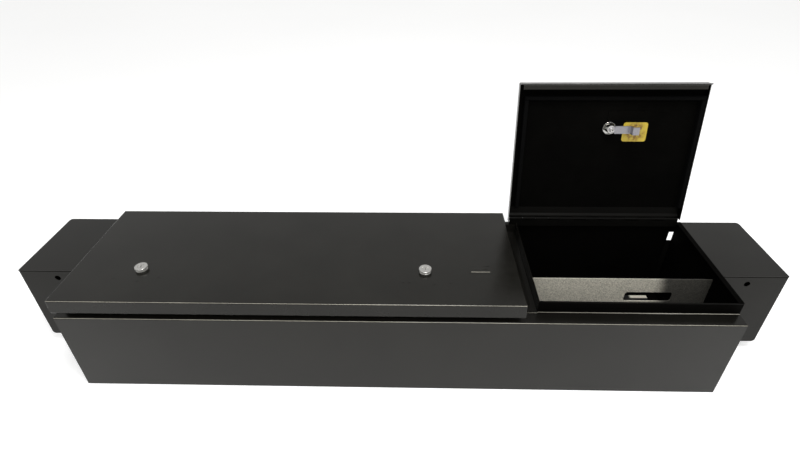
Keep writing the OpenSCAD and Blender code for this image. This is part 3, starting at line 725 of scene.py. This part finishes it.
# %% [markdown]
# ## Lids
# A lid is one sheet: its front is folded down to a skirt and in again to a hem, and
# its two ends are folded down a little way. A box with its bottom and back removed
# gives the sheet. Its folds are bevelled to the bend radius, so each catches the light
# as a thin line, and the fold at the front of the top is also painted pale, a painted
# highlight. Behind the hinge line the outer end has no fold, so that the lid
# clears the rim when it opens. The wall goes on last, inwards, and its inner face takes
# the dark inner coat: painted shade.

# %% Fold a lid
LID_SPANS = {"left": (LEFT_LOW.x, LEFT_HIGH.x), "right": (OPEN_LOW.x, OPEN_HIGH.x)}
CORNER_CUT = 0.006
END_CUT = 0.018
CUT_STEPS = 5
LID_FINISHES = [lid_sheen_coat, inner_shade_coat, highlight_coat, inner_shade_coat, skirt_shade_coat, inner_shade_coat]
SKIRT = 4
FACES_FRONT = 0.7


def sheet_folds(bm, test):
    """The edges between two faces whose middles pass a test."""
    return [edge for edge in bm.edges if len(edge.link_faces) == 2
            and test((edge.verts[0].co + edge.verts[1].co) / 2)]


def cut_corner(bm, x, radius):
    """Trims the skirt's lower corner at one end along a few chords of an arc."""
    inward = 1 if x < sum(v.co.x for v in bm.verts) / len(bm.verts) else -1
    centre = Vector((x + inward * radius, 0, SKIRT_Z + radius))
    for step in range(CUT_STEPS):
        angle = math.pi / 2 * (step + 0.5) / CUT_STEPS
        away = Vector((-inward * math.cos(angle), 0, -math.sin(angle)))
        bmesh.ops.bisect_plane(bm, geom=bm.verts[:] + bm.edges[:] + bm.faces[:],
                               plane_co=centre + away * radius, plane_no=away,
                               clear_outer=True)


def cut_rear(bm, x):
    """Takes the end flange away behind the hinge line, so that the lid clears the rim."""
    flange = [(x - TOUCH, FRONT, SIDE_Z), (x + TOUCH, BACK, LID_Z - FOLD_R + TOUCH)]
    slice_faces(bm, faces_in(bm, *flange), "y", HINGE_Y)
    gone = [face for face in faces_in(bm, *flange)
            if face.calc_center_median().y > HINGE_Y]
    bmesh.ops.delete(bm, geom=gone, context="FACES")


def lid_bmesh(x0, x1, right_cut, outer_x):
    """A lid's folded sheet, shut, as one open surface that faces outwards."""
    bm = cube_bmesh((x0, FRONT, SKIRT_Z), (x1, BACK, LID_Z))
    gone = faces_towards(bm, Vector((0, 0, -1))) + faces_towards(bm, Vector((0, 1, 0)))
    bmesh.ops.delete(bm, geom=gone, context="FACES")
    bmesh.ops.bisect_plane(bm, geom=bm.verts[:] + bm.edges[:] + bm.faces[:],
                           plane_co=(0, 0, SIDE_Z), plane_no=(0, 0, 1))
    low_sides = [face for face in bm.faces if abs(face.normal.x) > 0.9
                 and face.calc_center_median().z < SIDE_Z]
    bmesh.ops.delete(bm, geom=low_sides, context="FACES")
    foot = [edge for edge in bm.edges if edge.is_boundary
            and all(abs(v.co.z - SKIRT_Z) < 1e-5 for v in edge.verts)]
    grown = bmesh.ops.extrude_edge_only(bm, edges=foot)["geom"]
    hem_verts = [item for item in grown if isinstance(item, bmesh.types.BMVert)]
    bmesh.ops.translate(bm, vec=(0, HEM, 0), verts=hem_verts)
    bmesh.ops.recalc_face_normals(bm, faces=bm.faces)
    if not faces_towards(bm, Vector((0, 0, 1))):
        bmesh.ops.reverse_faces(bm, faces=bm.faces)
    folds = sheet_folds(bm, lambda middle: True)
    flat_joins = [edge for edge in folds if edge.calc_face_angle(0) < 0.01]
    round_edges(bm, [edge for edge in folds if edge not in flat_joins], FOLD_R)
    for x, radius in ((x0, CORNER_CUT), (x1, right_cut)):
        cut_corner(bm, x, radius)
    cut_rear(bm, outer_x)
    # The faces that face forwards take the darker skirt coat, painted shade; the fold at the
    # front of the top takes the pale painted highlight.
    for face in bm.faces:
        if face.normal.y < -FACES_FRONT:
            face.material_index = SKIRT
    mark_painted_highlight(bm, faces_in(bm, (-1, -1, LID_Z - FOLD_R), (1, 1, LID_Z)))
    return bm


def make_lid(side):
    """One lid with its wall."""
    x0, x1 = LID_SPANS[side]
    bm = lid_bmesh(x0, x1, END_CUT if side == "right" else CORNER_CUT,
                   x1 if side == "right" else x0)
    piece = finish_piece(f"{side}_lid_sheet", bm, LID_FINISHES, f"{side}_lid",
                         [f"{side}_lid_shell"], side == "right")
    wall(piece, SHEET, 1)
    print(piece.name, len(piece.data.polygons), "faces")


for side in ("left", "right"):
    make_lid(side)

# %% [markdown]
# ## Foam seals
# A strip of closed-cell foam is glued under each lid, where it meets the coaming. It
# is soft, so its lower edges are round.

# %% Make the seals
SEAL_W, SEAL_LIFT, SEAL_ROUND = 0.010, 0.0004, 0.0025
SEAL_BACK_GAP = 0.032
COAMING_HALF_GAP = 0.02575


def seal_bmesh(name):
    """A foam frame of one front run and two side runs, rounded along its edges."""
    x0, x1 = LID_SPANS[name]
    run = SEAL_W
    front_y = COAMING_Y + SHEET / 2 - run / 2
    back_y = HINGE_Y - SEAL_BACK_GAP
    low_z, high_z = RIM_Z + SEAL_LIFT, LID_Z - SHEET
    split = (LID_SPANS["left"][1] + LID_SPANS["right"][0]) / 2
    left_x = x0 + FOLD_R if name == "left" else split + COAMING_HALF_GAP - run / 2
    right_x = split - COAMING_HALF_GAP - run / 2 if name == "left" else x1 - FOLD_R - run
    bm = bmesh.new()
    bars = [((left_x, front_y, low_z), (right_x + run, front_y + run, high_z)),
            ((left_x, front_y + run, low_z), (left_x + run, back_y, high_z)),
            ((right_x, front_y + run, low_z), (right_x + run, back_y, high_z))]
    for low, high in bars:
        bar = cube_bmesh(low, high)
        lower = [edge for edge in bar.edges
                 if all(abs(v.co.z - low_z) < 1e-6 for v in edge.verts)]
        round_edges(bar, lower, SEAL_ROUND, 4)
        join_bmesh(bm, bar)
    return bm


for side in ("left", "right"):
    seal = finish_piece(f"{side}_foam_seal", seal_bmesh(side), [foam],
                        f"{side}_lid", [f"{side}_lid_seal"], side == "right")
    print(seal.name, [round(v, 3) for v in seal.dimensions])

# %% [markdown]
# ## Key locks
# The lock is a turned body with a domed nickel head, a grooved neck and a threaded
# barrel, held from below by a cup washer. All of these are round, so each is a
# profile spun about the lock's axis.

# %% Spin a profile
LOCK_STEPS = 48


def spin_profile(points, centre, steps=LOCK_STEPS):
    """A closed ring surface from (radius, height) points spun about a standing axis."""
    bm = bmesh.new()
    verts = [bm.verts.new((radius, 0, height)) for radius, height in points]
    edges = [bm.edges.new(pair) for pair in zip(verts, verts[1:] + verts[:1])]
    bmesh.ops.spin(bm, geom=verts + edges, cent=(0, 0, 0), axis=(0, 0, 1), dvec=(0, 0, 0),
                   angle=math.tau, steps=steps, use_merge=True, use_duplicate=False)
    bmesh.ops.remove_doubles(bm, verts=bm.verts, dist=1e-6)
    bmesh.ops.recalc_face_normals(bm, faces=bm.faces)
    bmesh.ops.translate(bm, vec=centre, verts=bm.verts)
    return bm


def arc_points(centre, radius, start, stop, count):
    """Points on an arc, with its angles in degrees."""
    angles = [math.radians(start + (stop - start) * i / count) for i in range(count + 1)]
    return [(centre[0] + radius * math.cos(a), centre[1] + radius * math.sin(a))
            for a in angles]


# %% Make the lock housings
HEAD_R, HEAD_H, CAP_T, HEAD_ROUND = 0.0145, 0.010, 0.0045, 0.0012
NECK_R, BARREL_R, BARREL_LEN = 0.0132, 0.010, 0.024
BORE_R = 0.00605
THREAD_PITCH = 0.0015


def housing_profile():
    """The outline of the head, its banded neck and the threaded barrel."""
    top = HEAD_H
    points = [(BORE_R, top - 0.0012), (BORE_R + 0.0012, top - 0.0012), (BORE_R + 0.0018, top)]
    points += arc_points((HEAD_R - HEAD_ROUND, top - HEAD_ROUND), HEAD_ROUND, 90, 0, 5)
    points += [(HEAD_R, HEAD_H - CAP_T + 0.0006), (HEAD_R - 0.0006, HEAD_H - CAP_T)]
    for band in (0.0044, 0.0028):
        points += [(NECK_R, band), (NECK_R - 0.0006, band - 0.0004),
                   (NECK_R - 0.0006, band - 0.0008), (NECK_R, band - 0.0012)]
    points += [(NECK_R, 0.001), (BARREL_R, 0.001)]
    turns = int((BARREL_LEN - 0.004) / THREAD_PITCH)
    for turn in range(turns):
        crest = -0.002 - turn * THREAD_PITCH
        points += [(BARREL_R, crest), (BARREL_R - 0.0005, crest - THREAD_PITCH / 2)]
    points += [(BARREL_R, -BARREL_LEN + 0.0005), (BARREL_R - 0.0005, -BARREL_LEN),
               (BORE_R, -BARREL_LEN)]
    return points


def cup_profile():
    """A cup washer: a thin rim that turns down, round a flat that grips the barrel."""
    outer, depth, wall_t = 0.0155, 0.006, 0.0008
    top = -SHEET
    points = [(BARREL_R + 0.0002, top), (outer - 0.001, top), (outer, top - 0.001)]
    points += arc_points((outer - wall_t / 2, top - depth + wall_t / 2), wall_t / 2, 0, -180, 5)
    points += [(outer - wall_t, top - wall_t), (BARREL_R + 0.0002, top - wall_t)]
    return points


LOCK_LIDS = {"a": "left_lid", "b": "left_lid", "c": "right_lid"}
for key, lid in LOCK_LIDS.items():
    centre = (LOCK_X[key], LOCK_Y, LID_Z)
    opened = lid == "right_lid"
    housing = spin_profile(housing_profile(), centre)
    for face in housing.faces:
        height = face.calc_center_median().z - LID_Z
        if 0 < height < HEAD_H - HEAD_ROUND and abs(face.normal.z) < 0.8:
            face.material_index = 1
    finish_piece(f"lock_body_{key}", housing, [nickel, satin_nickel], lid,
                 [f"lock_housing_{key}"], opened)
    finish_piece(f"lock_cup_{key}", spin_profile(cup_profile(), centre), [nickel], lid,
                 [f"lock_nut_{key}"], opened)
print("locks at", LOCK_X)

# %% Make the cam screws
SCREW_R, SCREW_H = 0.005, 0.003
CAM_ARM_Z = -BARREL_LEN - 0.0003 - 0.003


def screw_bmesh(centre):
    """A pan-head screw with its shank, and two thin dark bars across its head as the crossed
    recess.
    """
    top = CAM_ARM_Z
    points = [(0.0, top - SCREW_H)]
    points += arc_points((SCREW_R - 0.0012, top - SCREW_H + 0.0012), 0.0012, -90, 0, 4)
    points += [(SCREW_R, top), (0.0025, top), (0.0025, top + 0.008), (0.0, top + 0.008)]
    bm = spin_profile(points, (0, 0, 0), 24)
    for turn in (0, 90):
        slot = cube_bmesh((-0.0028, -0.0005, top - SCREW_H - 0.0003),
                          (0.0028, 0.0005, top - SCREW_H + 0.0001))
        bmesh.ops.rotate(slot, cent=(0, 0, 0), verts=slot.verts,
                         matrix=Matrix.Rotation(math.radians(turn), 3, "Z"))
        # The recess is not cut: the bars stand a little proud of the head and take the dark
        # inner coat, painted shade where the recess would be.
        for face in slot.faces:
            face.material_index = 1
        join_bmesh(bm, slot)
    bmesh.ops.translate(bm, vec=centre, verts=bm.verts)
    return bm


for key, lid in LOCK_LIDS.items():
    screw = screw_bmesh((LOCK_X[key], LOCK_Y, LID_Z))
    finish_piece(f"pan_screw_{key}", screw, [nickel, inner_shade_coat], f"lock_{key}",
                 [f"cam_screw_{key}"], lid == "right_lid")
print("screws", len(LOCK_LIDS))

# %% [markdown]
# ## Label
# The label is a thin sheet of printed vinyl with round corners. It stays blank but for
# soft smudges of colour, because lettering has no place on a shared part.

# %% Make the label
LABEL_W, LABEL_H, LABEL_T = 0.060, 0.048, 0.0003
LABEL_X = (LABEL_LOW.x + LABEL_HIGH.x) / 2
LABEL_Y, LABEL_ROUND = LOCK_Y + 0.0105, 0.006


def label_bmesh():
    """A rectangle with round corners, as thin as vinyl."""
    under = LID_Z - SHEET
    bm = cube_bmesh((LABEL_X - LABEL_W / 2, LABEL_Y - LABEL_H / 2, under - LABEL_T),
                    (LABEL_X + LABEL_W / 2, LABEL_Y + LABEL_H / 2, under))
    upright = [edge for edge in bm.edges
               if abs(edge.verts[0].co.z - edge.verts[1].co.z) > LABEL_T / 2]
    round_edges(bm, upright, LABEL_ROUND, 6)
    return bm


finish_piece("vinyl_label", label_bmesh(), [vinyl], "right_lid", ["right_lid_label"],
             True)
print("label at", round(LABEL_X, 4), round(LABEL_Y, 4))

# %% [markdown]
# ## Badge
# A thin plate is pressed into relief on the left lid: a plain field with three raised
# bars and no lettering. It is a flat box with rounded corners, and each bar is a box
# with softened edges. The coat is the lid's, with its painted light, but the bar nearest
# the front is thin and painted pale: a painted highlight.

# %% Make the badge
BADGE_LOW, BADGE_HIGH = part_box("left_lid_badge")
BADGE_FIELD_T = 0.0003
BADGE_ROUND, BAR_ROUND, BAR_SINK = 0.003, 0.0002, 0.0001
BAR_MARGIN, BAR_PITCH = 0.005, 0.0105
BAR_DEPTH, HIGHLIGHT_BAR_DEPTH = 0.0032, 0.0016
BARS = [(-1, 1.0, HIGHLIGHT_BAR_DEPTH, 1), (0, 0.8, BAR_DEPTH, 0), (1, 1.0, BAR_DEPTH, 0)]


def badge_bmesh():
    """A rounded field with three raised bars: BARS gives row, length, depth and finish."""
    field_top = BADGE_LOW.z + BADGE_FIELD_T
    bm = cube_bmesh(BADGE_LOW, (BADGE_HIGH.x, BADGE_HIGH.y, field_top))
    upright = [edge for edge in bm.edges
               if abs(edge.verts[0].co.z - edge.verts[1].co.z) > BADGE_FIELD_T / 2]
    round_edges(bm, upright, BADGE_ROUND, 4)
    middle = (BADGE_LOW.y + BADGE_HIGH.y) / 2
    centre_x = (BADGE_LOW.x + BADGE_HIGH.x) / 2
    for row, length, depth, finish in BARS:
        half = (BADGE_HIGH.x - BADGE_LOW.x) / 2 * length - BAR_MARGIN
        y = middle + row * BAR_PITCH
        bar = cube_bmesh((centre_x - half, y - depth / 2, field_top - BAR_SINK),
                         (centre_x + half, y + depth / 2, BADGE_HIGH.z))
        top = [edge for edge in bar.edges
               if all(abs(v.co.z - BADGE_HIGH.z) < 1e-6 for v in edge.verts)]
        round_edges(bar, top, BAR_ROUND, 2)
        for face in bar.faces:
            face.material_index = finish
        join_bmesh(bm, bar)
    return bm


finish_piece("pressed_badge", badge_bmesh(), [lid_sheen_coat, highlight_coat], "left_lid",
             ["left_lid_badge"])
print("badge", [round(v, 3) for v in BADGE_HIGH - BADGE_LOW])

# %% [markdown]
# ## Spot welds
# The plate under each lock is spot welded to the lid, and each weld leaves a small
# shallow disc in the top face. A flat cone of a few dozen faces is enough for one.

# %% Add the spot welds on the lids
WELD_R, WELD_H = 0.0032, 0.0004
WELD_PLACES = {"a": [(-0.052, -0.031), (0.006, -0.040), (0.050, -0.026)],
               "b": [(-0.050, -0.037), (-0.036, -0.037), (0.020, -0.042), (0.056, -0.038)]}


def weld_discs(places, lift):
    """Shallow discs on a level face."""
    bm = bmesh.new()
    for x, y in places:
        bmesh.ops.create_cone(bm, cap_ends=True, segments=16, radius1=WELD_R,
                              radius2=WELD_R * 0.55, depth=WELD_H,
                              matrix=Matrix.Translation((x, y, lift + WELD_H / 2)))
    return bm


for key, offsets in WELD_PLACES.items():
    spots = [(LOCK_X[key] + dx, LOCK_Y + dy) for dx, dy in offsets]
    finish_piece(f"spot_welds_{key}", weld_discs(spots, LID_Z), [coat], "left_lid")
print("spot welds", sum(len(spots) for spots in WELD_PLACES.values()))

# %% [markdown]
# ## Weld beads
# Each wing is welded to the body's end along its underside and its back. A bead is a
# row of overlapping ripples, so it is a chain of small flattened balls with a
# little seeded scatter in size.

# %% Add the weld beads under the wings
random.seed(7)
BEAD_R, BEAD_STEP = 0.0028, 0.0030


def bead_bmesh(start, stop):
    """A chain of ripples between two points."""
    start, stop = Vector(start), Vector(stop)
    count = int((stop - start).length / BEAD_STEP)
    bm = bmesh.new()
    for i in range(count + 1):
        size = BEAD_R * random.uniform(0.85, 1.1)
        place = Matrix.Translation(start.lerp(stop, i / count))
        bmesh.ops.create_icosphere(bm, subdivisions=1, radius=size, matrix=place)
    return bm


WING_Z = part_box("left_wing_pan")[0].z
for side, end in (("left", -END_X), ("right", END_X)):
    out = math.copysign(0.0006, end)
    for part, (y0, y1) in enumerate(((0.0, 0.04), (0.10, 0.14))):
        bead = bead_bmesh((end + out, y0, WING_Z), (end + out, y1, WING_Z))
        finish_piece(f"{side}_wing_bead_{part}", bead, [coat], "box")
print("beads under wings at", round(WING_Z, 4))
